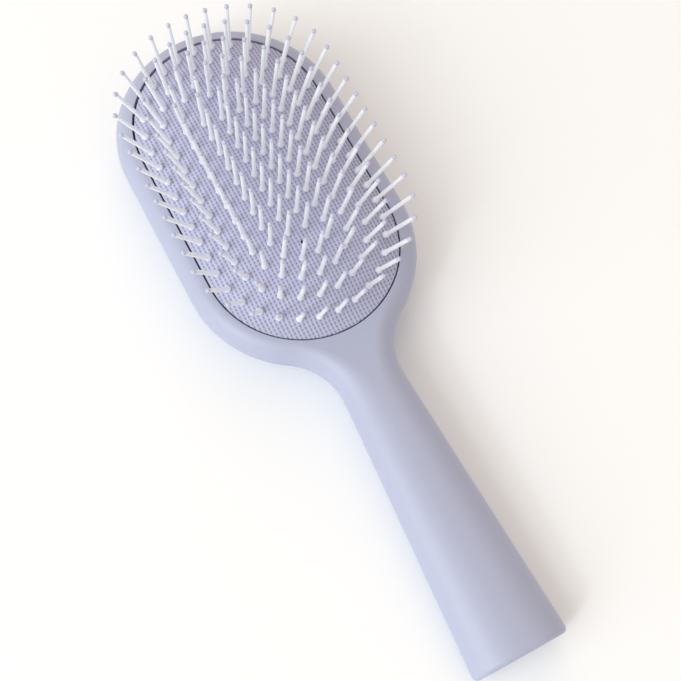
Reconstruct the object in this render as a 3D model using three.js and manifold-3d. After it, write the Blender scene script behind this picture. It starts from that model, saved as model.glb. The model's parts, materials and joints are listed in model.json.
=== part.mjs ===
// Paddle hair brush with an air-cushion pad, lying on its back with the pins up.
// Millimetres, +Z up, +Y towards the tip of the head. The origin is on the table, under the middle.
import * as THREE from 'three';
import { mergeVertices } from 'three/addons/utils/BufferGeometryUtils.js';
import Module from 'manifold-3d';

const wasm = await Module();
wasm.setup();

// Moulded body: a paddle head with round ends and a handle that flares to a flat foot
const brushLength = 239;
const headWidth = 79.5;
const headStraight = 50.6;
const headThickness = 19.5;
const headEdgeRound = 5.5;
const headBackRound = 12;
const headWidestDrop = 7.2;
const handleEndWidth = 33.2;
const handleEndThickness = 17.5;
const handleEndWidest = 6;
const handleFlareDeg = 3.5;
const handleFlatShare = 0.07;
const neckFillet = 22;
const neckBlendLength = 15;
const footEdgeRound = 2.5;

// Pocket for the air cushion, with the groove that grips its bead
const rimWidth = 6.5;
const rimEndWidth = 5.6;
const rimEdgeBevel = 0.3;
const pocketFloor = 4.5;
const grooveTop = 1.8;
const grooveHeight = 2.6;
const grooveDepth = 1.6;

// Rubber pad: a domed skin with a rolled edge and a bead under the rim
const padRecess = 0.2;
const domeHeight = 6.2;
const domePower = 3;
const rimGap = 0.4;
const padEdgeRound = 0.3;
const padSkin = 1.4;
const padCollar = 2.2;
const ventRadius = 0.55;
const ventSetback = 4.6;

// Pins: nested rings that follow the rim, set a little towards the tip of the head
const ringCount = 5;
const pinShift = 0.8;
const pinMargin = 4.3;
const pinEndSetback = 1.7;
const innerRowSetback = 0.6;
const pinLength = 18.3;
const pinSink = 0.5;
const collarRadius = 1.05;
const collarHeight = 2.6;
const shaftFootRadius = 0.74;
const shaftTopRadius = 0.67;
const ballRadius = 0.85;
const ballDrop = 0.8;
const ballCrown = 0.65;

// Splay of the pins: upright in the middle, out to the sides and ends, most at the corners
const splaySideDeg = 28.3;
const splayTipDeg = 10.5;
const splayHandleDeg = 13.3;
const splaySidePower = 2.3;
const splayEndPower = 1.75;
const cornerSplay = 1.7;

// Skin band that carries each ring of pins
const bandThickness = 1;
const flankWidth = 2.5;

// Plug that closes the hollow foot of the handle
const footWall = 2.6;
const plugDepth = 10;
const plugPlate = 3;
const plugSkirt = 2;
const socketSpare = 2;

// Clearances between neighbouring pieces
const seatGap = 0.3;
const cutSpare = 2;

// How finely curves are divided
const edgeSteps = 14;
const headArcSteps = 16;
const neckArcSteps = 8;
const handleSteps = 7;
const pocketArcSteps = 20;
const padArcSteps = 9;
const footSteps = 3;
const pinSides = 4;
const ventSides = 6;

// Places that follow from the sizes above
const headRadius = headWidth / 2;
const headArcY = headStraight / 2;
const headCentreY = brushLength / 2 - headArcY - headRadius;
const pinCentreY = headCentreY + pinShift;
const footY = -brushLength / 2;
const openingRadius = headRadius - rimWidth;
const openingArcY = headArcY + rimWidth - rimEndWidth;
const padBase = headThickness - padRecess;
const ringPitch = (openingRadius - pinMargin) / (ringCount - 0.5);
const pinArcY = openingArcY - pinEndSetback;
const rowsEachSide = Math.round(pinArcY / ringPitch);
const padEdge = openingRadius - rimGap;
const outerBandEdge = openingRadius - flankWidth;
const crownRadius = ringPitch / 2;

const ringRadius = (ring) => (ring + 0.5) * ringPitch;
const domeZ = (radius) => padBase + domeHeight * (1 - (radius / openingRadius) ** domePower);
const vector = (x, y, z) => new THREE.Vector3(x, y, z);
const smooth = (value) => THREE.MathUtils.smoothstep(value, 0, 1);

// Triangles of a flat loop, wound the way the loop runs
function capFaces(loop) {
  const normal = vector(0, 0, 0);
  loop.forEach((point, i) => {
    const next = loop[(i + 1) % loop.length];
    normal.x += (point.y - next.y) * (point.z + next.z);
    normal.y += (point.z - next.z) * (point.x + next.x);
    normal.z += (point.x - next.x) * (point.y + next.y);
  });
  normal.normalize();
  const across = Math.abs(normal.z) > 0.5 ? vector(1, 0, 0) : vector(0, 0, 1);
  const u = across.addScaledVector(normal, -across.dot(normal)).normalize();
  const v = normal.clone().cross(u);
  const flat = loop.map((point) => new THREE.Vector2(point.dot(u), point.dot(v)));
  return THREE.ShapeUtils.triangulateShape(flat, []);
}

// Geometry from points and faces, turned so that the faces point out
function geometryFrom(points, faces) {
  const volume = faces.reduce((sum, [a, b, c]) => {
    const normal = points[b].clone().cross(points[c]);
    return sum + points[a].dot(normal);
  }, 0);
  const index = faces.flatMap(([a, b, c]) => (volume > 0 ? [a, b, c] : [a, c, b]));
  const geometry = new THREE.BufferGeometry().setFromPoints(points);
  geometry.setIndex(index);
  return geometry;
}

// Skin over a row of loops with equal point counts: capped at both ends, or joined into a ring
function loft(loops, joined = false) {
  const count = loops[0].length;
  const points = loops.flat();
  const faces = [];
  const spans = joined ? loops.length : loops.length - 1;
  for (let s = 0; s < spans; s += 1) {
    const here = s * count;
    const there = ((s + 1) % loops.length) * count;
    for (let i = 0; i < count; i += 1) {
      const j = (i + 1) % count;
      faces.push([here + i, there + i, there + j], [here + i, there + j, here + j]);
    }
  }
  if (!joined) {
    const last = (loops.length - 1) * count;
    capFaces(loops[0]).forEach(([a, b, c]) => faces.push([a, b, c]));
    capFaces(loops.at(-1)).forEach(([a, b, c]) => faces.push([last + a, last + c, last + b]));
  }
  return geometryFrom(points, faces);
}

// Closed solid for joining and cutting
function solid(geometry) {
  const bare = geometry.clone();
  bare.deleteAttribute('normal');
  bare.deleteAttribute('uv');
  const merged = mergeVertices(bare, 1e-5);
  return new wasm.Manifold(new wasm.Mesh({
    numProp: 3,
    vertProperties: new Float32Array(merged.attributes.position.array),
    triVerts: new Uint32Array(merged.index.array),
  }));
}

// Geometry of a finished solid
function geometryOf(manifold) {
  const mesh = manifold.getMesh();
  const geometry = new THREE.BufferGeometry();
  geometry.setAttribute('position', new THREE.BufferAttribute(new Float32Array(mesh.vertProperties), 3));
  geometry.setIndex(new THREE.BufferAttribute(new Uint32Array(mesh.triVerts), 1));
  geometry.computeVertexNormals();
  return geometry;
}

// Loop with straight sides and round ends, level at one height
function stadium(radius, arcY, z, steps, centreY = headCentreY) {
  const loop = [];
  for (const end of [1, -1]) {
    for (let k = 0; k <= steps; k += 1) {
      const angle = Math.PI * (k / steps + (end > 0 ? 0 : 1));
      const y = centreY + end * arcY + radius * Math.sin(angle);
      loop.push(vector(radius * Math.cos(angle), y, z));
    }
  }
  return loop;
}

// Right half of the body's outline, from the foot to the tip, with its outward direction
function rightOutline() {
  const flare = THREE.MathUtils.degToRad(handleFlareDeg);
  const foot = new THREE.Vector2(handleEndWidth / 2, footY + footEdgeRound);
  const along = new THREE.Vector2(-Math.sin(flare), Math.cos(flare));
  const outward = new THREE.Vector2(Math.cos(flare), Math.sin(flare));
  const arcCentre = new THREE.Vector2(0, headCentreY - headArcY);
  const start = foot.clone().addScaledVector(outward, neckFillet).sub(arcCentre);
  const reach = headRadius + neckFillet;
  const halfB = start.dot(along);
  const flankLength = -halfB - Math.sqrt(halfB * halfB - start.lengthSq() + reach * reach);
  const filletCentre = foot.clone().addScaledVector(outward, neckFillet).addScaledVector(along, flankLength);
  const toFillet = filletCentre.clone().sub(arcCentre);
  const headStart = Math.atan2(toFillet.y, toFillet.x);
  const neckStart = Math.atan2(-outward.y, -outward.x);
  const neckEnd = Math.atan2(-toFillet.y, -toFillet.x);
  const neckTurn = THREE.MathUtils.euclideanModulo(neckEnd - neckStart + Math.PI, 2 * Math.PI) - Math.PI;
  const outline = [];
  for (let k = 0; k < handleSteps; k += 1) {
    const point = foot.clone().addScaledVector(along, (flankLength * k) / handleSteps);
    outline.push({ point, outward: outward.clone() });
  }
  for (let k = 0; k < neckArcSteps; k += 1) {
    const angle = neckStart + (neckTurn * k) / neckArcSteps;
    const ray = new THREE.Vector2(Math.cos(angle), Math.sin(angle));
    const point = filletCentre.clone().addScaledVector(ray, neckFillet);
    outline.push({ point, outward: ray.negate() });
  }
  for (const [centre, from, to] of [[-headArcY, headStart, 0], [headArcY, 0, Math.PI / 2]]) {
    for (let k = 0; k <= headArcSteps; k += 1) {
      const angle = from + ((to - from) * k) / headArcSteps;
      const ray = new THREE.Vector2(Math.cos(angle), Math.sin(angle));
      const point = new THREE.Vector2(0, headCentreY + centre).addScaledVector(ray, headRadius);
      outline.push({ point, outward: ray });
    }
  }
  const neckY = outline[handleSteps].point.y;
  const shoulderY = outline[handleSteps + neckArcSteps].point.y;
  return { outline, neckY, shoulderY };
}

// One column of the body's edge, from the flat of the top round to the flat of the back
function edgeColumn({ point, outward }, side, neckY, shoulderY) {
  const handleShare = smooth((shoulderY - point.y) / (shoulderY - neckY + neckBlendLength));
  const taper = THREE.MathUtils.clamp((neckY - point.y) / (neckY - footY), 0, 1);
  const topZ = THREE.MathUtils.lerp(headThickness, handleEndThickness, taper);
  const sink = THREE.MathUtils.clamp((shoulderY - point.y) / (shoulderY - footY), 0, 1);
  const widestZ = THREE.MathUtils.lerp(headThickness - headWidestDrop, handleEndWidest, sink);
  const handleRound = point.x * (1 - handleFlatShare);
  const topRound = THREE.MathUtils.lerp(headEdgeRound, handleRound, handleShare);
  const backRound = THREE.MathUtils.lerp(headBackRound, handleRound, handleShare);
  const direction = outward.clone().lerp(new THREE.Vector2(1, 0), handleShare).normalize();
  const column = [];
  for (let k = 0; k <= edgeSteps; k += 1) {
    const angle = (Math.PI * k) / edgeSteps;
    const level = Math.cos(angle);
    const inward = (level > 0 ? topRound : backRound) * (1 - Math.sin(angle));
    const x = point.x - direction.x * inward;
    const y = point.y - direction.y * inward;
    column.push(vector(side * x, y, widestZ + level * (level > 0 ? topZ - widestZ : widestZ)));
  }
  return column;
}

// Loops of the foot: the last section of the handle, drawn in round its edge to the flat end
function footLoops(firstColumn, lastColumn) {
  const section = [...firstColumn.toReversed(), ...lastColumn];
  const loops = [];
  for (let k = 0; k <= footSteps; k += 1) {
    const angle = (Math.PI / 2) * (k / footSteps);
    const inset = footEdgeRound * (1 - Math.cos(angle));
    loops.push(insetSection(section, inset, footEdgeRound * Math.sin(angle)));
  }
  return loops;
}

// A section of the handle made smaller all round and moved towards the foot
function insetSection(section, inset, shift) {
  const halfWidth = Math.max(...section.map((p) => p.x));
  const halfHeight = Math.max(...section.map((p) => p.z)) / 2;
  const wide = 1 - inset / halfWidth;
  const high = 1 - inset / halfHeight;
  return section.map((p) => vector(p.x * wide, p.y - shift, halfHeight + (p.z - halfHeight) * high));
}

// Body before its cuts: edge columns round the outline, rungs over the top and back, and the rounded foot
function bodyBlank() {
  const { outline, neckY, shoulderY } = rightOutline();
  const right = outline.map((spot) => edgeColumn(spot, 1, neckY, shoulderY));
  const left = outline.slice(0, -1).map((spot) => edgeColumn(spot, -1, neckY, shoulderY)).toReversed();
  const columns = [...right, ...left];
  const rows = edgeSteps + 1;
  const points = columns.flat();
  const faces = [];
  for (let i = 0; i < columns.length - 1; i += 1) {
    for (let k = 0; k < edgeSteps; k += 1) {
      const a = i * rows + k;
      faces.push([a, a + 1, a + rows + 1], [a, a + rows + 1, a + rows]);
    }
  }
  const lastColumn = (columns.length - 1) * rows;
  for (let i = 0; i < right.length - 1; i += 1) {
    const a = i * rows;
    const b = a + rows;
    const c = lastColumn - b;
    const d = lastColumn - a;
    faces.push([a, b, d], [a + edgeSteps, d + edgeSteps, b + edgeSteps]);
    if (b !== c) faces.push([b, c, d], [b + edgeSteps, d + edgeSteps, c + edgeSteps]);
  }
  let rim = [...columns[0].keys()].toReversed();
  rim = [...rim, ...columns[0].keys()].map((k, i) => (i < rows ? k : lastColumn + k));
  const loops = footLoops(columns[0], columns.at(-1));
  for (const loop of loops.slice(1)) {
    const next = loop.map((_, i) => points.length + i);
    points.push(...loop);
    rim.forEach((a, i) => {
      const j = (i + 1) % rim.length;
      faces.push([a, rim[j], next[j]], [a, next[j], next[i]]);
    });
    rim = next;
  }
  capFaces(loops.at(-1)).forEach((face) => faces.push(face.map((i) => rim[i])));
  return { geometry: geometryFrom(points, faces), footSection: loops.at(-1) };
}

// Space that the cushion takes: straight wall, bead groove and bevelled rim
function pocketCutter() {
  const top = headThickness;
  const grooveRadius = openingRadius + grooveDepth;
  const profile = [
    [openingRadius, pocketFloor],
    [openingRadius, top - grooveTop - grooveHeight],
    [grooveRadius, top - grooveTop - grooveHeight],
    [grooveRadius, top - grooveTop],
    [openingRadius, top - grooveTop],
    [openingRadius, top - rimEdgeBevel],
    [openingRadius + rimEdgeBevel, top],
    [openingRadius + rimEdgeBevel, top + cutSpare],
  ];
  return loft(profile.map(([radius, z]) => stadium(radius, openingArcY, z, pocketArcSteps)));
}

// Straight plug shape in the foot, between two depths
function footPrism(section, inset, fromDepth, toDepth) {
  return loft([fromDepth, toDepth].map((depth) => insetSection(section, inset, -depth)));
}

// The head and handle moulding
function makeBody(blank) {
  const socket = footPrism(blank.footSection, footWall - footEdgeRound, -cutSpare, plugDepth + socketSpare);
  return geometryOf(solid(blank.geometry).subtract(solid(pocketCutter())).subtract(solid(socket)));
}

// The plug in the foot: a plate with a skirt, open towards the handle
function makePlug(blank) {
  const inset = footWall - footEdgeRound + seatGap;
  const outside = footPrism(blank.footSection, inset, 0, plugDepth);
  const inside = footPrism(blank.footSection, inset + plugSkirt, plugPlate, plugDepth + cutSpare);
  return geometryOf(solid(outside).subtract(solid(inside)));
}

// Loop of the pad at one radius: it follows the pins as far as the flank, then moves over to the rim
function padLoop(radius, z) {
  const share = THREE.MathUtils.clamp((radius - outerBandEdge) / (padEdge - outerBandEdge), 0, 1);
  const arcY = THREE.MathUtils.lerp(pinArcY, openingArcY, share);
  return stadium(radius, arcY, z, padArcSteps, THREE.MathUtils.lerp(pinCentreY, headCentreY, share));
}

// Hole that lets the cushion breathe, on the middle line at the handle end of the pins
function ventCutter() {
  const y = pinCentreY - pinArcY + innerRowSetback - ventSetback;
  const bottom = headThickness;
  const length = domeHeight + cutSpare;
  const hole = new THREE.CylinderGeometry(ventRadius, ventRadius, length, ventSides);
  hole.rotateX(Math.PI / 2);
  hole.translate(0, y, bottom + length / 2);
  return solid(hole);
}

// The rubber pad: seat for the pin bands, rolled flank, collar down to the bead, and the hollow below
function makePad() {
  const seatZ = (radius) => domeZ(radius) - bandThickness - seatGap;
  const step = outerBandEdge + seatGap;
  const collarInside = padEdge - padCollar;
  const beadRadius = openingRadius + grooveDepth - seatGap;
  const beadTop = headThickness - grooveTop - seatGap;
  const beadBottom = beadTop - grooveHeight + 2 * seatGap;
  const seatRadii = [crownRadius];
  for (let ring = 2; ring < ringCount; ring += 1) seatRadii.push(ring * ringPitch);
  const rolled = padEdge - padEdgeRound;
  const profile = [
    ...seatRadii.map((radius) => [radius, seatZ(radius)]),
    [step, seatZ(step)],
    [step, domeZ(step)],
    [rolled, domeZ(rolled)],
    [padEdge, padBase - padEdgeRound],
    [padEdge, beadTop],
    [beadRadius, beadTop],
    [beadRadius, beadBottom],
    [collarInside, beadBottom],
    [collarInside, seatZ(step) - padSkin],
    ...seatRadii.toReversed().map((radius) => [radius, seatZ(radius) - padSkin]),
  ];
  return geometryOf(solid(loft(profile.map(([radius, z]) => padLoop(radius, z)))).subtract(ventCutter()));
}

// Direction of the pin at one place, counted from the middle of the pins
function pinLean(x, y) {
  const reach = ringRadius(ringCount - 1);
  const across = x / reach;
  const along = y / (pinArcY + reach);
  const sideTan = Math.tan(THREE.MathUtils.degToRad(splaySideDeg));
  const endTan = Math.tan(THREE.MathUtils.degToRad(y > 0 ? splayTipDeg : splayHandleDeg));
  const side = sideTan * Math.sign(x) * Math.abs(across) ** splaySidePower;
  const end = endTan * Math.sign(y) * Math.abs(along) ** splayEndPower;
  return vector(side, end * (1 + cornerSplay * across ** 2), 1).normalize();
}

// Places and directions of the pins of one ring
function ringPins(ring) {
  const radius = ringRadius(ring);
  const arcY = ring === 0 ? pinArcY - innerRowSetback : pinArcY;
  const pins = [];
  const add = (arcCentre, angle) => {
    const x = radius * Math.cos(angle);
    const y = arcCentre + radius * Math.sin(angle);
    const foot = vector(x, pinCentreY + y, domeZ(radius));
    pins.push({ foot, lean: pinLean(x, y), facing: Math.atan2(y, x) });
  };
  for (let row = -rowsEachSide; row <= rowsEachSide; row += 1) {
    add((arcY * row) / rowsEachSide, 0);
    add((arcY * row) / rowsEachSide, Math.PI);
  }
  const arcPlaces = Math.round((Math.PI * radius) / ringPitch);
  for (let k = 1; k < arcPlaces; k += 1) {
    add(arcY, (Math.PI * k) / arcPlaces);
    if (ring > 0) add(-arcY, (-Math.PI * k) / arcPlaces);
  }
  return pins;
}

// One pin: collar that narrows to the shaft, tapered shaft and ball tip, with its flats facing outwards
function makePin({ foot, lean, facing }) {
  const profile = [
    [collarRadius, -pinSink],
    [shaftFootRadius, collarHeight],
    [shaftTopRadius, pinLength - ballDrop],
    [ballRadius, pinLength],
    [ballRadius / 2, pinLength + ballCrown],
  ];
  const loops = profile.map(([radius, z]) => Array.from({ length: pinSides }, (_, i) => {
    const angle = facing + (2 * Math.PI * (i + 0.5)) / pinSides;
    return vector(radius * Math.cos(angle), radius * Math.sin(angle), z);
  }));
  const pin = loft(loops);
  pin.applyQuaternion(new THREE.Quaternion().setFromUnitVectors(vector(0, 0, 1), lean));
  pin.translate(foot.x, foot.y, foot.z);
  return solid(pin);
}

// Slice of the pad's skin under a ring of pins, or under the whole middle of the field
function skinBand(innerEdge, outerEdge) {
  const top = (radius) => padLoop(radius, domeZ(radius));
  const under = (radius) => padLoop(radius, domeZ(radius) - bandThickness);
  if (innerEdge > 0) {
    return loft([top(innerEdge), top(outerEdge), under(outerEdge), under(innerEdge)], true);
  }
  const radii = [crownRadius, ringPitch, outerEdge];
  return loft([...radii.map(top), ...radii.toReversed().map(under)]);
}

// Pins of some rings, standing on their slice of skin
function makePinZone(rings) {
  const first = Math.min(...rings);
  const last = Math.max(...rings);
  const innerEdge = first === 0 ? 0 : first * ringPitch + seatGap / 2;
  const outerEdge = last === ringCount - 1 ? outerBandEdge : (last + 1) * ringPitch - seatGap / 2;
  const pins = rings.flatMap(ringPins).map(makePin);
  const zone = pins.reduce((sum, pin) => sum.add(pin), solid(skinBand(innerEdge, outerEdge)));
  return geometryOf(first === 0 ? zone.subtract(ventCutter()) : zone);
}

const lavenderPlastic = { color: '#c3c5df', roughness: 0.42, metalness: 0 };
const lavenderRubber = { color: '#b1b0cf', roughness: 0.85, metalness: 0 };
const whiteNylon = { color: '#eae8ea', roughness: 0.4, metalness: 0 };

const brush = new THREE.Group();
brush.name = 'cushion_brush';

function addPiece(name, geometry, finish) {
  const mesh = new THREE.Mesh(geometry, new THREE.MeshStandardMaterial(finish));
  mesh.name = name;
  brush.add(mesh);
}

const outerRing = ringCount - 1;
const middleRings = Array.from({ length: ringCount - 3 }, (_, ring) => ring);
const blank = bodyBlank();
addPiece('brush_body', makeBody(blank), lavenderPlastic);
addPiece('handle_foot_plug', makePlug(blank), lavenderPlastic);
addPiece('cushion_pad', makePad(), lavenderRubber);
addPiece('pins_outer_ring', makePinZone([outerRing]), whiteNylon);
addPiece('pins_second_ring', makePinZone([outerRing - 1]), whiteNylon);
addPiece('pins_third_ring', makePinZone([outerRing - 2]), whiteNylon);
addPiece('pins_middle', makePinZone(middleRings), whiteNylon);

export default brush;
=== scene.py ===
import json
import math

import bmesh
import bpy
import numpy as np
from mathutils import Matrix, Vector

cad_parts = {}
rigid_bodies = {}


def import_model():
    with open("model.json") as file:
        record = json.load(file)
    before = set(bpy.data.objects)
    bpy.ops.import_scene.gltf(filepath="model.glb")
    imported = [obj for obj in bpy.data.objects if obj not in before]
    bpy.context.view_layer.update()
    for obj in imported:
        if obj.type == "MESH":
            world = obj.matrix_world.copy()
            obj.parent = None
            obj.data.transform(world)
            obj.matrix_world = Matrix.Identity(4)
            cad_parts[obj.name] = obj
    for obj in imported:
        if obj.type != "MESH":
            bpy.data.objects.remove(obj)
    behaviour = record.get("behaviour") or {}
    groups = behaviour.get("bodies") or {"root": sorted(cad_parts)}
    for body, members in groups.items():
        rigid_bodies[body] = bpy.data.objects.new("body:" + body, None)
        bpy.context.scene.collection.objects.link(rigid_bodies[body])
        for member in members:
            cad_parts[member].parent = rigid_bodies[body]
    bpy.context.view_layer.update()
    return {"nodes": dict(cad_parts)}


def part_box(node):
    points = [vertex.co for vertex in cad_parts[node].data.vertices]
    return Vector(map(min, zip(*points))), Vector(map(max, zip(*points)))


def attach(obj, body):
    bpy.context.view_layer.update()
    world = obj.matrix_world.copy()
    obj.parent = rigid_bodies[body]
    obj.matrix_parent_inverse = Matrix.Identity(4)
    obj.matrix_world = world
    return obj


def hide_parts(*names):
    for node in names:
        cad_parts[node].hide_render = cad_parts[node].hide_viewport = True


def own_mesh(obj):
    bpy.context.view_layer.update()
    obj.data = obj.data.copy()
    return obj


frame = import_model()
mm = 0.001  # sizes below are millimetres, meshes are metres
print("frame loaded:", sorted(frame["nodes"]))


def lerp(a, b, share):
    return a + (b - a) * share


def clamp(value):
    return min(max(value, 0.0), 1.0)


def smooth(value):
    # eased step from 0 to 1
    t = clamp(value)
    return t * t * (3 - 2 * t)


def linearColour(hexColour):
    # sRGB hex to the linear colour that Blender's sockets take
    levels = [int(hexColour[i:i + 2], 16) / 255 for i in (1, 3, 5)]
    return tuple(v / 12.92 if v <= 0.04045 else ((v + 0.055) / 1.055) ** 2.4 for v in levels) + (1.0,)


def addNode(tree, kind, inputs=None, **settings):
    # node with its settings, and its inputs linked or set
    node = tree.nodes.new(kind)
    for name, value in settings.items():
        setattr(node, name, value)
    for key, value in (inputs or {}).items():
        if isinstance(value, bpy.types.NodeSocket):
            tree.links.new(value, node.inputs[key])
        else:
            node.inputs[key].default_value = value
    return node


def newMaterial(name):
    # empty material with a Principled shader, ready for its nodes
    material = bpy.data.materials.new(name)
    material.use_nodes = True
    tree = material.node_tree
    tree.nodes.clear()
    shader = addNode(tree, "ShaderNodeBsdfPrincipled")
    addNode(tree, "ShaderNodeOutputMaterial", {"Surface": shader.outputs["BSDF"]})
    return material, tree, shader


def newPiece(name, points, faces, material):
    # mesh object from points in millimetres
    mesh = bpy.data.meshes.new(name)
    mesh.from_pydata([Vector(p) * mm for p in points], [], faces)
    mesh.materials.append(material)
    mesh.shade_smooth()
    piece = bpy.data.objects.new(name, mesh)
    bpy.context.scene.collection.objects.link(piece)
    return piece


def evaluatedMesh(piece):
    # plain mesh of a piece with its modifiers worked in
    depsgraph = bpy.context.evaluated_depsgraph_get()
    return bpy.data.meshes.new_from_object(piece.evaluated_get(depsgraph))


# Camera: high above the left of the handle's foot, looking down along the brush

cameraSettings = {
    "place": (-80.9, -115.3, 381.6),
    "aim": (-3.84, -7.26, 19.5),
    "rollDeg": 7.93,
    "lens": 63.44,
    "sensor": 36.0,
    "clipStart": 10.0,
}


def makeCamera():
    s = cameraSettings
    data = bpy.data.cameras.new("photoCamera")
    data.lens = s["lens"]
    data.sensor_width = s["sensor"]
    data.clip_start = s["clipStart"] * mm
    camera = bpy.data.objects.new("photoCamera", data)
    bpy.context.scene.collection.objects.link(camera)
    view = Vector(s["aim"]) - Vector(s["place"])
    turn = view.to_track_quat("-Z", "Y").to_matrix().to_4x4()
    roll = Matrix.Rotation(math.radians(s["rollDeg"]), 4, "Z")
    camera.matrix_world = Matrix.Translation(Vector(s["place"]) * mm) @ turn @ roll
    bpy.context.scene.camera = camera


makeCamera()
print("camera placed")

# Materials

plasticSettings = {
    "colour": "#adb1ca",
    "paleColour": "#b0b5cc",
    "roughness": 0.46,
    "roughnessSpread": 0.04,
    "ior": 1.53,
    "cloudMm": 38.0,  # slow drift of the pigment
    "grainMm": 0.5,   # the real spark-eroded grain is about 0.05 mm, drawn coarser so that it shows
    "grainDepthMm": 0.05,
    "grainBump": 0.06,
}


def satinPlastic():
    # injection-moulded ABS with a fine satin grain: soft wide highlights, nearly even colour
    s = plasticSettings
    material, tree, shader = newMaterial("satin moulded ABS")
    place = addNode(tree, "ShaderNodeTexCoord").outputs["Object"]
    cloud = addNode(tree, "ShaderNodeTexNoise", {
        "Vector": place,
        "Scale": 1 / (s["cloudMm"] * mm),
        "Detail": 2.0,
    })
    tint = addNode(tree, "ShaderNodeMix", {
        "Factor": cloud.outputs["Fac"],
        "A": linearColour(s["colour"]),
        "B": linearColour(s["paleColour"]),
    }, data_type="RGBA")
    grain = addNode(tree, "ShaderNodeTexNoise", {
        "Vector": place,
        "Scale": 1 / (s["grainMm"] * mm),
        "Detail": 3.0,
    })
    bump = addNode(tree, "ShaderNodeBump", {
        "Height": grain.outputs["Fac"],
        "Strength": s["grainBump"],
        "Distance": s["grainDepthMm"] * mm,
    })
    gloss = addNode(tree, "ShaderNodeMapRange", {
        "Value": grain.outputs["Fac"],
        "To Min": s["roughness"] - s["roughnessSpread"],
        "To Max": s["roughness"] + s["roughnessSpread"],
    })
    tree.links.new(tint.outputs["Result"], shader.inputs["Base Color"])
    tree.links.new(gloss.outputs["Result"], shader.inputs["Roughness"])
    tree.links.new(bump.outputs["Normal"], shader.inputs["Normal"])
    shader.inputs["IOR"].default_value = s["ior"]
    return material


weaveSettings = {
    "threadColour": "#aeb0cb",
    "ribColour": "#b8bad1",
    # painted shade: colour of the slots, drawn dark as the shade inside them
    "slotShadeColour": "#8486a8",
    # painted shade: the vent hole drawn near black, as the shade inside it
    "ventShadeColour": "#17151f",
    "pitchX": 1.32,
    "pitchY": 1.31,
    "slotPowerX": 1.6,  # the slots between the threads are narrow across the brush
    "slotPowerY": 0.5,  # and longer along it
    "slotStart": 0.1,   # wave heights where the painted shade of a slot starts and where it is darkest
    "slotFull": 0.9,
    "crownLightGain": 1.25,  # painted light: the skin is drawn paler towards the crown, lightening the shade that the pins cast over the middle
    "ventFade": 1.4,    # how far the painted shade of the vent runs out, in vent radii
    "roughness": 0.78,
    "ior": 1.5,
}


def wovenRubber(ventPlace, ventRadius, edgeZ, crownZ):
    # rubber pad faced with a square net: pale ribs along the brush, painted shade in the slots between the
    # threads
    s = weaveSettings
    material, tree, shader = newMaterial("net-faced rubber")
    place = addNode(tree, "ShaderNodeTexCoord").outputs["Object"]
    split = addNode(tree, "ShaderNodeSeparateXYZ", {"Vector": place})
    waves = []
    for axis, pitch in (("X", s["pitchX"]), ("Y", s["pitchY"])):
        turn = addNode(tree, "ShaderNodeMath", {0: split.outputs[axis], 1: 2 * math.pi / (pitch * mm)},
                       operation="MULTIPLY")
        swing = addNode(tree, "ShaderNodeMath", {0: turn.outputs[0]}, operation="COSINE")
        waves.append(addNode(tree, "ShaderNodeMapRange", {"Value": swing.outputs[0], "From Min": -1.0}))
    trough = addNode(tree, "ShaderNodeMath", {0: waves[0].outputs[0], 1: s["slotPowerX"]}, operation="POWER")
    stretch = addNode(tree, "ShaderNodeMath", {0: waves[1].outputs[0], 1: s["slotPowerY"]}, operation="POWER")
    slots = addNode(tree, "ShaderNodeMath", {0: trough.outputs[0], 1: stretch.outputs[0]},
                    operation="MULTIPLY")
    # painted shade: the slots between the threads are drawn darker, as the shade that falls in them
    slotShade = addNode(tree, "ShaderNodeMapRange", {
        "Value": slots.outputs[0],
        "From Min": s["slotStart"],
        "From Max": s["slotFull"],
    })
    ribs = addNode(tree, "ShaderNodeMix", {
        "Factor": waves[0].outputs[0],
        "A": linearColour(s["ribColour"]),
        "B": linearColour(s["threadColour"]),
    }, data_type="RGBA")
    net = addNode(tree, "ShaderNodeMix", {
        "Factor": slotShade.outputs[0],
        "A": ribs.outputs["Result"],
        "B": linearColour(s["slotShadeColour"]),
    }, data_type="RGBA")
    # painted light: the net's colour is raised from the edge to the crown, in place of light that the pins'
    # shade keeps off the middle
    heightMapped = addNode(tree, "ShaderNodeMapRange", {
        "Value": split.outputs["Z"],
        "From Min": edgeZ * mm,
        "From Max": crownZ * mm,
        "To Min": 1.0,
        "To Max": s["crownLightGain"],
    })
    crownLit = addNode(tree, "ShaderNodeVectorMath", {0: net.outputs["Result"], "Scale": heightMapped.outputs[0]},
                    operation="SCALE")
    level = addNode(tree, "ShaderNodeCombineXYZ", {"X": split.outputs["X"], "Y": split.outputs["Y"]})
    centre = (ventPlace[0] * mm, ventPlace[1] * mm, 0)
    reach = addNode(tree, "ShaderNodeVectorMath", {0: level.outputs["Vector"], 1: centre},
                    operation="DISTANCE")
    # painted shade: the vent's pit and a ring round it drawn near black
    vent = addNode(tree, "ShaderNodeMapRange", {
        "Value": reach.outputs["Value"],
        "From Min": ventRadius * mm,
        "From Max": ventRadius * s["ventFade"] * mm,
        "To Min": 1.0,
        "To Max": 0.0,
    })
    final = addNode(tree, "ShaderNodeMix", {
        "Factor": vent.outputs[0],
        "A": crownLit.outputs[0],
        "B": linearColour(s["ventShadeColour"]),
    }, data_type="RGBA")
    tree.links.new(final.outputs["Result"], shader.inputs["Base Color"])
    shader.inputs["Roughness"].default_value = s["roughness"]
    shader.inputs["IOR"].default_value = s["ior"]
    return material


nylonSettings = {
    "shaftColour": "#e6e9ef",
    "footColour": "#ebeef4",
    "tipColour": "#bfc1da",
    "tipPaleColour": "#c7c9de",
    "tipCloudMm": 9.0,
    "roughness": 0.36,
    "tipRoughness": 0.3,
    "ior": 1.53,
    "tipIor": 1.5,
    "scatterMm": 1.0,  # how far light runs in the nylon
    "scatterTint": (1.0, 0.95, 0.92),
}


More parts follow.
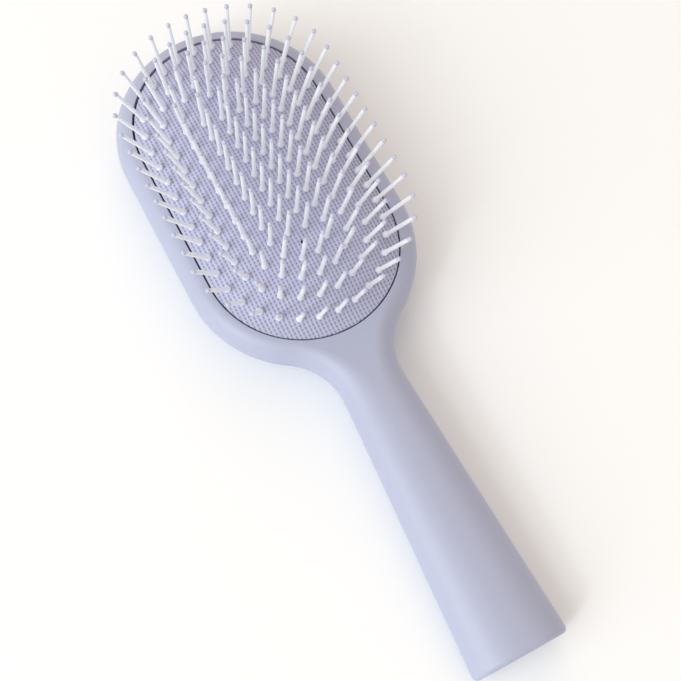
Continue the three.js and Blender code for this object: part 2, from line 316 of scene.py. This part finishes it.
def pinNylon():
    # moulded nylon: off-white, slightly translucent, a little whiter at the thick foot
    s = nylonSettings
    material, tree, shader = newMaterial("moulded nylon")
    rise = addNode(tree, "ShaderNodeAttribute", attribute_name="rise")
    tint = addNode(tree, "ShaderNodeMix", {
        "Factor": rise.outputs["Fac"],
        "A": linearColour(s["footColour"]),
        "B": linearColour(s["shaftColour"]),
    }, data_type="RGBA")
    tree.links.new(tint.outputs["Result"], shader.inputs["Base Color"])
    shader.inputs["Roughness"].default_value = s["roughness"]
    shader.inputs["IOR"].default_value = s["ior"]
    shader.inputs["Subsurface Weight"].default_value = 1.0
    shader.inputs["Subsurface Radius"].default_value = s["scatterTint"]
    shader.inputs["Subsurface Scale"].default_value = s["scatterMm"] * mm
    return material


def tipDip():
    # lavender dip that sets into a small glossy ball
    s = nylonSettings
    material, tree, shader = newMaterial("lavender tip dip")
    place = addNode(tree, "ShaderNodeTexCoord").outputs["Object"]
    cloud = addNode(tree, "ShaderNodeTexNoise", {
        "Vector": place,
        "Scale": 1 / (s["tipCloudMm"] * mm),
        "Detail": 1.0,
    })
    tint = addNode(tree, "ShaderNodeMix", {
        "Factor": cloud.outputs["Fac"],
        "A": linearColour(s["tipColour"]),
        "B": linearColour(s["tipPaleColour"]),
    }, data_type="RGBA")
    tree.links.new(tint.outputs["Result"], shader.inputs["Base Color"])
    shader.inputs["Roughness"].default_value = s["tipRoughness"]
    shader.inputs["IOR"].default_value = s["tipIor"]
    return material


# Body: paddle head and flared handle in one moulding

bodySettings = {
    "headStraight": 50.6,
    "headEdgeRound": 5.5,
    "headBackRound": 12.0,
    "headWidestDrop": 7.2,  # how far below the rim the head is widest
    "footWidth": 33.2,
    "footThickness": 17.5,
    "footWidest": 6.0,  # height at which the foot is widest
    "flareDeg": 3.5,
    "flatShare": 0.07,  # flat part of the handle's top, as a share of its width
    "neckFillet": 22.0,
    "neckBlend": 6.0,   # how far the head's edge runs out into the handle past the neck
    "neckHold": 0.1,    # share of the neck along which the head's edge keeps its radius
    "footEdgeRound": 1.8,
    "footWall": 2.6,
    "rimWidth": 6.5,
    "rimEndWidth": 5.6,
    "lipRound": 0.2,
    "pocketDepth": 9.0,
    "socketDepth": 12.0,
    "cutSpare": 2.0,  # how far the cutters stand out of the faces that they cut
    "sharpDeg": 34.0,
    "edgeSteps": 36,
    "headArcSteps": 64,
    "neckArcSteps": 36,
    "handleSteps": 48,
    "footSteps": 8,
    "pocketArcSteps": 72,
    "lipSteps": 6,
}

bodyLow, bodyHigh = [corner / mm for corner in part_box("brush_body")]
headRadius = bodyHigh.x
headThickness = bodyHigh.z
footY = bodyLow.y
headArcY = bodySettings["headStraight"] / 2
headCentreY = bodyHigh.y - headRadius - headArcY
openingRadius = headRadius - bodySettings["rimWidth"]
openingArcY = headArcY + bodySettings["rimWidth"] - bodySettings["rimEndWidth"]


def stadium(radius, arcY, z, steps):
    # loop with straight sides and round ends, round the middle of the head
    loop = []
    for end in (1, -1):
        for k in range(steps + 1):
            angle = math.pi * (k / steps + (0 if end > 0 else 1))
            loop.append((radius * math.cos(angle), headCentreY + end * arcY + radius * math.sin(angle), z))
    return loop


def brushOutline():
    # right half of the outline, foot to tip: places and outward directions
    s = bodySettings
    flare = math.radians(s["flareDeg"])
    foot = Vector((s["footWidth"] / 2, footY + s["footEdgeRound"]))
    along = Vector((-math.sin(flare), math.cos(flare)))
    outward = Vector((math.cos(flare), math.sin(flare)))
    arcCentre = Vector((0, headCentreY - headArcY))
    # the straight flank ends where the neck's fillet touches both it and the head's round end
    start = foot + outward * s["neckFillet"] - arcCentre
    reach = headRadius + s["neckFillet"]
    halfB = start.dot(along)
    flankLength = -halfB - math.sqrt(halfB ** 2 - start.length_squared + reach ** 2)
    filletCentre = foot + outward * s["neckFillet"] + along * flankLength
    toFillet = filletCentre - arcCentre
    headStart = math.atan2(toFillet.y, toFillet.x)
    neckStart = math.atan2(-outward.y, -outward.x)
    neckEnd = math.atan2(-toFillet.y, -toFillet.x)
    neckTurn = (neckEnd - neckStart + math.pi) % (2 * math.pi) - math.pi
    outline = []
    for k in range(s["handleSteps"]):
        outline.append((foot + along * (flankLength * k / s["handleSteps"]), outward))
    for k in range(s["neckArcSteps"]):
        angle = neckStart + neckTurn * k / s["neckArcSteps"]
        ray = Vector((math.cos(angle), math.sin(angle)))
        outline.append((filletCentre + ray * s["neckFillet"], -ray))
    for centre, begin, end in ((-headArcY, headStart, 0), (headArcY, 0, math.pi / 2)):
        for k in range(s["headArcSteps"] + 1):
            angle = lerp(begin, end, k / s["headArcSteps"])
            ray = Vector((math.cos(angle), math.sin(angle)))
            outline.append((Vector((0, headCentreY + centre)) + ray * headRadius, ray))
    neckY = outline[s["handleSteps"]][0].y
    shoulderY = outline[s["handleSteps"] + s["neckArcSteps"]][0].y
    return outline, neckY, shoulderY


def edgeColumn(place, outward, neckY, shoulderY):
    # one column of the edge, from the flat of the top round to the flat of the back
    s = bodySettings
    along = (shoulderY - place.y) / (shoulderY - neckY + s["neckBlend"])
    handleShare = smooth((along - s["neckHold"]) / (1 - s["neckHold"]))
    topZ = lerp(headThickness, s["footThickness"], clamp((neckY - place.y) / (neckY - footY)))
    sink = clamp((shoulderY - place.y) / (shoulderY - footY))
    widestZ = lerp(headThickness - s["headWidestDrop"], s["footWidest"], sink)
    handleRound = place.x * (1 - s["flatShare"])
    topRound = lerp(s["headEdgeRound"], handleRound, handleShare)
    backRound = lerp(s["headBackRound"], handleRound, handleShare)
    direction = outward.lerp(Vector((1, 0)), handleShare).normalized()
    column = []
    for k in range(s["edgeSteps"] + 1):
        angle = math.pi * k / s["edgeSteps"]
        level = math.cos(angle)
        inward = (topRound if level > 0 else backRound) * (1 - math.sin(angle))
        x, y = place - direction * inward
        column.append((x, y, widestZ + level * (topZ - widestZ if level > 0 else widestZ)))
    return column


def insetSection(section, inset, shift):
    # section of the handle made smaller all round and moved towards the foot
    halfWidth = max(p[0] for p in section)
    halfHeight = max(p[2] for p in section) / 2
    wide = 1 - inset / halfWidth
    high = 1 - inset / halfHeight
    return [(x * wide, y - shift, halfHeight + (z - halfHeight) * high) for x, y, z in section]


def loftFaces(loops):
    # quads between loops of equal count, capped at both ends
    count = len(loops[0])
    faces = []
    for n in range(len(loops) - 1):
        a = n * count
        for i in range(count):
            j = (i + 1) % count
            faces.append((a + i, a + j, a + count + j, a + count + i))
    last = (len(loops) - 1) * count
    faces.append(tuple(reversed(range(count))))
    faces.append(tuple(range(last, last + count)))
    return faces


def turnOutwards(piece):
    # shared points merged and faces turned out
    work = bmesh.new()
    work.from_mesh(piece.data)
    bmesh.ops.remove_doubles(work, verts=work.verts, dist=1e-7)
    bmesh.ops.recalc_face_normals(work, faces=work.faces)
    work.to_mesh(piece.data)
    work.free()


def cutOut(piece, cutters):
    # cutters taken out of a piece, the points that the cut doubles merged, and the cutters removed
    for cutter in cutters:
        turnOutwards(cutter)
        cut = piece.modifiers.new("cut", "BOOLEAN")
        cut.operation = "DIFFERENCE"
        cut.solver = "EXACT"
        cut.object = cutter
    mesh = evaluatedMesh(piece)
    piece.modifiers.clear()
    piece.data = mesh
    turnOutwards(piece)
    for cutter in cutters:
        bpy.data.objects.remove(cutter)


def makeBody(material):
    # shell with a pocket in the head and a socket in the foot, and the section at its foot end
    s = bodySettings
    outline, neckY, shoulderY = brushOutline()
    right = [edgeColumn(place, outward, neckY, shoulderY) for place, outward in outline]
    left = [[(-x, y, z) for x, y, z in column] for column in reversed(right[:-1])]
    columns = right + left
    # edge all round, then the flats of the top and the back
    rows = s["edgeSteps"] + 1
    points = [p for column in columns for p in column]
    faces = []
    for i in range(len(columns) - 1):
        for k in range(rows - 1):
            a = i * rows + k
            faces.append((a, a + 1, a + rows + 1, a + rows))
    lastColumn = (len(columns) - 1) * rows
    for i in range(len(right) - 1):
        a = i * rows
        rung = list(dict.fromkeys((a, a + rows, lastColumn - a - rows, lastColumn - a)))
        faces.append(tuple(rung))
        faces.append(tuple(k + rows - 1 for k in reversed(rung)))
    # rounded foot
    section = columns[0][::-1] + columns[-1]
    rim = list(range(rows))[::-1] + [lastColumn + k for k in range(rows)]
    for k in range(1, s["footSteps"] + 1):
        angle = math.pi / 2 * k / s["footSteps"]
        inset = s["footEdgeRound"] * (1 - math.cos(angle))
        loop = insetSection(section, inset, s["footEdgeRound"] * math.sin(angle))
        following = [len(points) + i for i in range(len(loop))]
        points += loop
        for i in range(len(loop)):
            j = (i + 1) % len(loop)
            faces.append((rim[i], rim[j], following[j], following[i]))
        rim = following
    faces.append(tuple(rim))
    body = newPiece("brushBodyShell", points, faces, material)
    turnOutwards(body)

    # pocket for the pad
    lip = []
    for k in range(s["lipSteps"] + 1):
        angle = math.pi / 2 * k / s["lipSteps"]
        lip.append((openingRadius + s["lipRound"] * (1 - math.cos(angle)),
                    headThickness - s["lipRound"] * (1 - math.sin(angle))))
    profile = [(openingRadius, headThickness - s["pocketDepth"])] + lip
    profile.append((openingRadius + s["lipRound"], headThickness + s["cutSpare"]))
    loops = [stadium(radius, openingArcY, z, s["pocketArcSteps"]) for radius, z in profile]
    pocket = newPiece("pocketCutter", [p for loop in loops for p in loop], loftFaces(loops), material)

    # socket for the plug
    footEnd = insetSection(section, s["footEdgeRound"], s["footEdgeRound"])
    wall = s["footWall"] - s["footEdgeRound"]
    loops = [insetSection(footEnd, wall, -depth) for depth in (-s["cutSpare"], s["socketDepth"])]
    socket = newPiece("socketCutter", [p for loop in loops for p in loop], loftFaces(loops), material)
    cutOut(body, [pocket, socket])
    body.data.shade_smooth()
    body.data.set_sharp_from_angle(angle=math.radians(s["sharpDeg"]))
    settle = body.modifiers.new("settle", "WEIGHTED_NORMAL")
    settle.keep_sharp = True
    mesh = evaluatedMesh(body)
    body.modifiers.clear()
    body.data = mesh
    return body, footEnd


# Plug in the foot of the handle

plugSettings = {
    "seam": 0.3,
    "depth": 10.0,
    "plate": 3.0,   # thickness of the end
    "skirt": 2.0,   # thickness of the wall that runs into the handle
    "edgeRound": 0.35,
    "edgeSteps": 4,
    "sharpDeg": 40.0,
}


def makePlug(material, footEnd):
    # cap with a rounded edge, a seam's width clear of the handle's wall, and a skirt inside
    s = plugSettings
    wall = bodySettings["footWall"] - bodySettings["footEdgeRound"] + s["seam"]
    loops = []
    for k in range(s["edgeSteps"] + 1):
        angle = math.pi / 2 * k / s["edgeSteps"]
        inset = wall + s["edgeRound"] * (1 - math.sin(angle))
        loops.append(insetSection(footEnd, inset, -s["edgeRound"] * (1 - math.cos(angle))))
    loops.append(insetSection(footEnd, wall, -s["depth"]))
    loops.append(insetSection(footEnd, wall + s["skirt"], -s["depth"]))
    loops.append(insetSection(footEnd, wall + s["skirt"], -s["plate"]))
    plug = newPiece("footPlugCap", [p for loop in loops for p in loop], loftFaces(loops), material)
    turnOutwards(plug)
    plug.data.set_sharp_from_angle(angle=math.radians(s["sharpDeg"]))
    return plug


# Air cushion: domed pad with a woven relief, rolled down into the rim

padSettings = {
    "recess": 0.2,  # how far the dome starts below the rim
    "domeHeight": 6.2,
    "domePower": 3.0,
    "rimGap": 0.57,
    "seatY": -0.42,  # the skin sits a little towards the handle in its opening
    "edgeRound": 0.15,
    "edgeSteps": 4,
    "edgeSnap": 0.3,  # grid points nearer to the edge than this, in grid steps, move onto it
    "tuck": 3.5,      # how far the edge runs down below the rim
    "flank": 2.5,     # width over which the loops of the skin turn from the pins' to the rim's
    "pinShift": 0.8,  # middle of the pins, from the head's middle
    "pinEndSetback": 1.7,
    "loopTries": 16,
    "stepsPerThread": 4,
    "slotDepth": 0.12,
    "ribHeight": 0.06,
    "reliefFade": 0.8,
    "ventRadius": 0.55,
    "ventSetback": 4.6,
    "ventDepth": 1.6,
    "crownReach": 1.2,  # place on the dome that sinks as far as the middle pins, in ring pitches
}
padEdge = openingRadius - padSettings["rimGap"]
pinArcY = openingArcY - padSettings["pinEndSetback"]
pinCentreY = headCentreY + padSettings["pinShift"]


def domeZ(radius):
    # height of the skin on the loop of this radius
    s = padSettings
    rise = 1 - (radius / openingRadius) ** s["domePower"]
    return headThickness - s["recess"] + s["domeHeight"] * rise


def padRadius(x, y):
    # radius of the pad loop through each place, and the direction square to it:
    # loops follow the pins as far as the flank, then move over to the rim
    s = padSettings
    flankStart = openingRadius - s["flank"]
    radius = np.abs(x)
    for _ in range(s["loopTries"]):
        share = np.clip((radius - flankStart) / (padEdge - flankStart), 0, 1)
        along = y - lerp(s["pinShift"], s["seatY"], share)
        past = np.maximum(np.abs(along) - lerp(pinArcY, openingArcY, share), 0)
        radius = (radius + np.hypot(x, past)) / 2
    safe = np.maximum(radius, 1e-6)
    return radius, x / safe, np.sign(along) * past / safe


def weaveRelief(x, y):
    # height of the net over the skin: ribs along the brush, slots between the threads
    s = padSettings
    waveX = (1 + np.cos(2 * np.pi * x / weaveSettings["pitchX"])) / 2
    waveY = (1 + np.cos(2 * np.pi * y / weaveSettings["pitchY"])) / 2
    slots = waveX ** weaveSettings["slotPowerX"] * waveY ** weaveSettings["slotPowerY"]
    return s["ribHeight"] * (1 - waveX) - s["slotDepth"] * slots


def makePad(material, ventY):
    s = padSettings
    w = weaveSettings
    rolled = padEdge - s["edgeRound"]
    stepX = w["pitchX"] / s["stepsPerThread"]
    stepY = w["pitchY"] / s["stepsPerThread"]
    # grid lines fall on the threads, which are counted from the frame's origin
    firstY = math.floor((headCentreY - openingArcY - padEdge) / stepY)
    lastY = math.ceil((headCentreY + openingArcY + padEdge) / stepY)
    reachX = math.ceil(padEdge / stepX)
    gridX, gridY = np.meshgrid(np.arange(-reachX, reachX + 1) * stepX, np.arange(firstY, lastY + 1) * stepY)
    x, y = gridX.ravel(), gridY.ravel() - headCentreY
    radius, outX, outY = padRadius(x, y)
    outside = radius > rolled - s["edgeSnap"] * stepX
    shift = np.where(outside, rolled - radius, 0)
    x, y = x + outX * shift, y + outY * shift
    radius = np.where(outside, rolled, radius)
    fade = np.clip((rolled - radius) / s["reliefFade"], 0, 1)
    z = domeZ(radius) + fade * weaveRelief(gridX.ravel(), gridY.ravel())
    ventReach = np.hypot(x, y + headCentreY - ventY)
    z -= np.where(ventReach < s["ventRadius"], s["ventDepth"], 0)
    wide = gridX.shape[1]
    corner = (np.arange(gridX.shape[0] - 1)[:, None] * wide + np.arange(wide - 1)[None, :]).ravel()
    quads = np.stack([corner, corner + 1, corner + wide + 1, corner + wide], axis=1)
    quads = quads[~outside[quads].all(axis=1)]
    points = np.stack([x, y + headCentreY, z], axis=1)
    pad = newPiece("cushionSkin", points.tolist(), quads.tolist(), material)

    # edge rolled over and tucked down into the rim
    work = bmesh.new()
    work.from_mesh(pad.data)
    bmesh.ops.delete(work, geom=[v for v in work.verts if not v.link_faces], context="VERTS")
    bmesh.ops.remove_doubles(work, verts=work.verts, dist=1e-6)
    border = [e for e in work.edges if e.is_boundary]
    profile = []
    drop = domeZ(rolled) - headThickness + s["recess"] + s["edgeRound"]
    for k in range(1, s["edgeSteps"] + 1):
        angle = math.pi / 2 * k / s["edgeSteps"]
        profile.append((rolled + s["edgeRound"] * math.sin(angle),
                        domeZ(rolled) - drop * (1 - math.cos(angle))))
    profile.append((padEdge, headThickness - s["tuck"]))
    last = rolled
    for ringRadius, ringZ in profile:
        grown = bmesh.ops.extrude_edge_only(work, edges=border)["geom"]
        ring = [g for g in grown if isinstance(g, bmesh.types.BMVert)]
        border = [g for g in grown if isinstance(g, bmesh.types.BMEdge)]
        for vert in ring:
            _, outX, outY = padRadius(np.array([vert.co.x / mm]), np.array([vert.co.y / mm - headCentreY]))
            vert.co.x += float(outX[0]) * (ringRadius - last) * mm
            vert.co.y += float(outY[0]) * (ringRadius - last) * mm
            vert.co.z = ringZ * mm
        last = ringRadius
    # closed below the rim, with a sharp corner
    bmesh.ops.edgeloop_fill(work, edges=border)
    bmesh.ops.recalc_face_normals(work, faces=work.faces)
    for face in work.faces:
        face.smooth = True
    for edge in border:
        edge.smooth = False
    work.to_mesh(pad.data)
    work.free()
    return pad


# Pins: nested rings of splayed nylon pins with dipped tips

pinSettings = {
    "ringCount": 5,
    "margin": 4.3,
    "innerRowSetback": 0.6,
    "length": 18.3,
    "sink": 0.5,
    "bulbRadius": 1.25,
    "ballRadius": 0.85,
    "splaySideDeg": 28.3,
    "splayTipDeg": 10.5,
    "splayHandleDeg": 13.3,
    "splaySidePower": 2.3,
    "splayEndPower": 1.75,
    "cornerSplay": 1.7,
    "sides": 8,
    "ballSegments": 8,
    "ballRings": 6,
    # heights over the skin and radii: sunk foot, round bulb, waist, then the slim shaft up to the ball
    "profile": ((-0.5, 0.75), (0.1, 0.95), (0.5, 1.14), (0.95, 1.25), (1.45, 1.2), (1.9, 1.02), (2.2, 0.84),
                (2.6, 0.76), (18.3, 0.7)),
}
pinZones = {
    "pins_outer_ring": {"body": "outer_pins", "rings": (4,)},
    "pins_second_ring": {"body": "second_pins", "rings": (3,)},
    "pins_third_ring": {"body": "third_pins", "rings": (2,)},
    "pins_middle": {"body": "middle_pins", "rings": (1, 0)},
}
# rings lie half a pitch, one and a half pitches and so on from the middle line
ringPitch = (openingRadius - pinSettings["margin"]) / (pinSettings["ringCount"] - 0.5)


def pinLean(x, y):
    # direction of the pin at one place, counted from the middle of the pins
    s = pinSettings
    reach = (s["ringCount"] - 0.5) * ringPitch
    across = x / reach
    along = y / (pinArcY + reach)
    endDeg = s["splayTipDeg"] if y > 0 else s["splayHandleDeg"]
    side = math.copysign(abs(across) ** s["splaySidePower"], x) * math.tan(math.radians(s["splaySideDeg"]))
    end = math.copysign(abs(along) ** s["splayEndPower"], y) * math.tan(math.radians(endDeg))
    return Vector((side, end * (1 + s["cornerSplay"] * across ** 2), 1)).normalized()


def ringPins(ring):
    # feet and directions of one ring's pins
    radius = (ring + 0.5) * ringPitch
    arcY = pinArcY - (pinSettings["innerRowSetback"] if ring == 0 else 0)
    rowsEachSide = round(pinArcY / ringPitch)
    places = []
    for row in range(-rowsEachSide, rowsEachSide + 1):
        places += [(arcY * row / rowsEachSide, 0), (arcY * row / rowsEachSide, math.pi)]
    arcPlaces = round(math.pi * radius / ringPitch)
    for k in range(1, arcPlaces):
        places.append((arcY, math.pi * k / arcPlaces))
        if ring > 0:
            places.append((-arcY, -math.pi * k / arcPlaces))
    feet, leans = [], []
    for arcCentre, angle in places:
        x, y = radius * math.cos(angle), arcCentre + radius * math.sin(angle)
        feet.append((x, pinCentreY + y, domeZ(radius)))
        leans.append(pinLean(x, y))
    return feet, leans


def newTree(name, sizes):
    # geometry tree with a geometry input, named sizes and a material
    tree = bpy.data.node_groups.new(name, "GeometryNodeTree")
    tree.interface.new_socket("Geometry", in_out="INPUT", socket_type="NodeSocketGeometry")
    for size, value in sizes.items():
        kind = "NodeSocketInt" if isinstance(value, int) else "NodeSocketFloat"
        tree.interface.new_socket(size, in_out="INPUT", socket_type=kind)
    tree.interface.new_socket("Material", in_out="INPUT", socket_type="NodeSocketMaterial")
    tree.interface.new_socket("Geometry", in_out="OUTPUT", socket_type="NodeSocketGeometry")
    return tree, addNode(tree, "NodeGroupInput").outputs


def finishTree(tree, given, points, shape):
    # shape set on each point along its lean, made real, smoothed and given its material
    lean = addNode(tree, "GeometryNodeInputNamedAttribute", {"Name": "lean"}, data_type="FLOAT_VECTOR")
    turn = addNode(tree, "FunctionNodeAlignRotationToVector", {"Vector": lean.outputs["Attribute"]}, axis="Z")
    field = addNode(tree, "GeometryNodeInstanceOnPoints", {
        "Points": points, "Instance": shape, "Rotation": turn.outputs["Rotation"],
    })
    real = addNode(tree, "GeometryNodeRealizeInstances", {"Geometry": field.outputs["Instances"]})
    soft = addNode(tree, "GeometryNodeSetShadeSmooth", {"Geometry": real.outputs["Geometry"]})
    dressed = addNode(tree, "GeometryNodeSetMaterial", {
        "Geometry": soft.outputs["Geometry"], "Material": given["Material"],
    })
    addNode(tree, "NodeGroupOutput", {"Geometry": dressed.outputs["Geometry"]})


shaftSizes = {
    "Length": pinSettings["length"] * mm,
    "Sink": pinSettings["sink"] * mm,
    "Bulb Radius": pinSettings["bulbRadius"] * mm,
    "Stations": len(pinSettings["profile"]),
    "Sides": pinSettings["sides"],
}
tipSizes = {
    "Length": pinSettings["length"] * mm,
    "Ball Radius": pinSettings["ballRadius"] * mm,
    "Segments": pinSettings["ballSegments"],
    "Rings": pinSettings["ballRings"],
}


def shaftTree():
    # line of stations raised to their heights, swept with a ring as wide as the pin is there
    s = pinSettings
    tree, given = newTree("pin shafts", shaftSizes)
    line = addNode(tree, "GeometryNodeCurvePrimitiveLine")
    stations = addNode(tree, "GeometryNodeResampleCurve", {
        "Curve": line.outputs["Curve"],
        "Count": given["Stations"],
    })
    along = addNode(tree, "GeometryNodeSplineParameter").outputs["Factor"]
    whole = s["length"] + s["sink"]
    rises = [(height + s["sink"]) / whole for height, _ in s["profile"]]
    swells = [radius / s["bulbRadius"] for _, radius in s["profile"]]
    last = len(rises) - 1
    curves = []
    for values in (rises, swells):
        # value at each station, read by its place in the row of stations
        curve = addNode(tree, "ShaderNodeFloatCurve", {"Value": along})
        points = curve.mapping.curves[0].points
        points[0].location = (0, values[0])
        points[1].location = (1, values[last])
        for k in range(1, last):
            points.new(k / last, values[k])
        for point in points:
            point.handle_type = "VECTOR"
        curve.mapping.update()
        curves.append(curve.outputs[0])
    risen, swell = curves
    marked = addNode(tree, "GeometryNodeStoreNamedAttribute", {
        "Geometry": stations.outputs["Curve"], "Name": "rise", "Value": risen,
    }, data_type="FLOAT", domain="POINT")
    total = addNode(tree, "ShaderNodeMath", {0: given["Length"], 1: given["Sink"]}, operation="ADD")
    up = addNode(tree, "ShaderNodeMath", {0: risen, 1: total.outputs[0]}, operation="MULTIPLY")
    height = addNode(tree, "ShaderNodeMath", {0: up.outputs[0], 1: given["Sink"]}, operation="SUBTRACT")
    place = addNode(tree, "ShaderNodeCombineXYZ", {"Z": height.outputs[0]})
    radius = addNode(tree, "ShaderNodeMath", {0: swell, 1: given["Bulb Radius"]}, operation="MULTIPLY")
    sized = addNode(tree, "GeometryNodeStoreNamedAttribute", {
        "Geometry": marked.outputs["Geometry"], "Name": "girth", "Value": radius.outputs[0],
    }, data_type="FLOAT", domain="POINT")
    heightMapped = addNode(tree, "GeometryNodeSetPosition", {
        "Geometry": sized.outputs["Geometry"], "Position": place.outputs["Vector"],
    })
    girth = addNode(tree, "GeometryNodeInputNamedAttribute", {"Name": "girth"}, data_type="FLOAT")
    ring = addNode(tree, "GeometryNodeCurvePrimitiveCircle", {"Resolution": given["Sides"], "Radius": 1.0})
    pin = addNode(tree, "GeometryNodeCurveToMesh", {
        "Curve": heightMapped.outputs["Geometry"],
        "Profile Curve": ring.outputs["Curve"],
        "Scale": girth.outputs["Attribute"],
        "Fill Caps": True,
    })
    finishTree(tree, given, given["Geometry"], pin.outputs["Mesh"])
    return tree


def tipTree():
    # ball at the end of each pin
    tree, given = newTree("pin tips", tipSizes)
    lean = addNode(tree, "GeometryNodeInputNamedAttribute", {"Name": "lean"}, data_type="FLOAT_VECTOR")
    reach = addNode(tree, "ShaderNodeVectorMath", {0: lean.outputs["Attribute"], "Scale": given["Length"]},
                    operation="SCALE")
    raised = addNode(tree, "GeometryNodeSetPosition", {
        "Geometry": given["Geometry"],
        "Offset": reach.outputs[0],
    })
    ball = addNode(tree, "GeometryNodeMeshUVSphere", {
        "Segments": given["Segments"], "Rings": given["Rings"], "Radius": given["Ball Radius"],
    })
    finishTree(tree, given, raised.outputs["Geometry"], ball.outputs["Mesh"])
    return tree


def growPins(name, feet, leans, tree, sizes, material):
    # points with their leans, grown into pins by the tree and kept as a plain mesh
    piece = newPiece(name, feet, [], material)
    lean = piece.data.attributes.new("lean", "FLOAT_VECTOR", "POINT")
    lean.data.foreach_set("vector", [c for direction in leans for c in direction])
    grow = piece.modifiers.new("grow", "NODES")
    grow.node_group = tree
    for socket in tree.interface.items_tree:
        if socket.in_out == "INPUT" and socket.name in sizes:
            grow[socket.identifier] = sizes[socket.name]
        elif socket.in_out == "INPUT" and socket.name == "Material":
            grow[socket.identifier] = material
    mesh = evaluatedMesh(piece)
    piece.modifiers.clear()
    piece.data = mesh
    mesh.name = name
    return piece


# Making the pieces

plastic = satinPlastic()
ventY = pinCentreY - pinArcY + pinSettings["innerRowSetback"] - padSettings["ventSetback"]
rubber = wovenRubber((0, ventY), padSettings["ventRadius"], domeZ(openingRadius), domeZ(0))
nylon = pinNylon()
dip = tipDip()
print("materials ready")

body, footEnd = makeBody(plastic)
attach(body, "brush")
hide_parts("brush_body")
print("body:", len(body.data.polygons), "faces")

plug = makePlug(plastic, footEnd)
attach(plug, "brush")
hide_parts("handle_foot_plug")
print("foot plug:", len(plug.data.polygons), "faces")

pad = makePad(rubber, ventY)
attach(pad, "brush")
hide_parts("cushion_pad")
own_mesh(pad)

shafts, tips = shaftTree(), tipTree()
for node, zone in pinZones.items():
    feet, leans = [], []
    for ring in zone["rings"]:
        ringFeet, ringLeans = ringPins(ring)
        feet += ringFeet
        leans += ringLeans
    zoneName = node.split("_")[1]
    pins = growPins(zoneName + "PinShafts", feet, leans, shafts, shaftSizes, nylon)
    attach(pins, zone["body"])
    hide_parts(node)
    balls = growPins(zoneName + "PinTips", feet, leans, tips, tipSizes, dip)
    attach(balls, zone["body"])
    print(zoneName, "pins:", len(feet))

# Floor and light

stageSettings = {
    "floorColour": "#f8fafc",
    "skyColour": "#fff6ee",
    "skyStrength": 0.69,
    "floorRoughness": 0.9,
    "floorReach": 3000.0,
    "lampAimBack": 40.0,  # the lamps look at a point this far from the head's middle, towards the handle
}
# each lamp: where it stands from the point that it looks at, its side, and its power in watts
lampSettings = {
    "keyLamp": {"place": (-2400, -330, 1580), "side": 2400, "power": 54.0, "colour": "#f4fdff"},
    "glintLamp": {"place": (-2210, -910, 1560), "side": 300, "power": 8.5, "colour": "#f4fdff"},
    "backLamp": {"place": (1120, 2180, 2060), "side": 2000, "power": 13.6, "colour": "#ffe1c9"},
}


def makeStage():
    s = stageSettings
    material, tree, shader = newMaterial("pale paper")
    shader.inputs["Base Color"].default_value = linearColour(s["floorColour"])
    shader.inputs["Roughness"].default_value = s["floorRoughness"]
    reach = s["floorReach"]
    corners = [(-reach, -reach, 0), (reach, -reach, 0), (reach, reach, 0), (-reach, reach, 0)]
    floor = newPiece("floor", corners, [(0, 1, 2, 3)], material)
    world = bpy.data.worlds.new("softRoom")
    world.use_nodes = True
    background = world.node_tree.nodes["Background"]
    background.inputs["Color"].default_value = linearColour(s["skyColour"])
    background.inputs["Strength"].default_value = s["skyStrength"]
    bpy.context.scene.world = world
    aim = Vector((0, headCentreY - s["lampAimBack"], headThickness))
    for name, lamp in lampSettings.items():
        data = bpy.data.lights.new(name, "AREA")
        data.size = lamp["side"] * mm
        data.energy = lamp["power"]
        data.color = linearColour(lamp["colour"])[:3]
        light = bpy.data.objects.new(name, data)
        bpy.context.scene.collection.objects.link(light)
        light.location = (aim + Vector(lamp["place"])) * mm
        light.rotation_euler = (-Vector(lamp["place"])).to_track_quat("-Z", "Y").to_euler()
    bpy.context.scene.view_settings.view_transform = "Standard"


makeStage()
print("stage set")
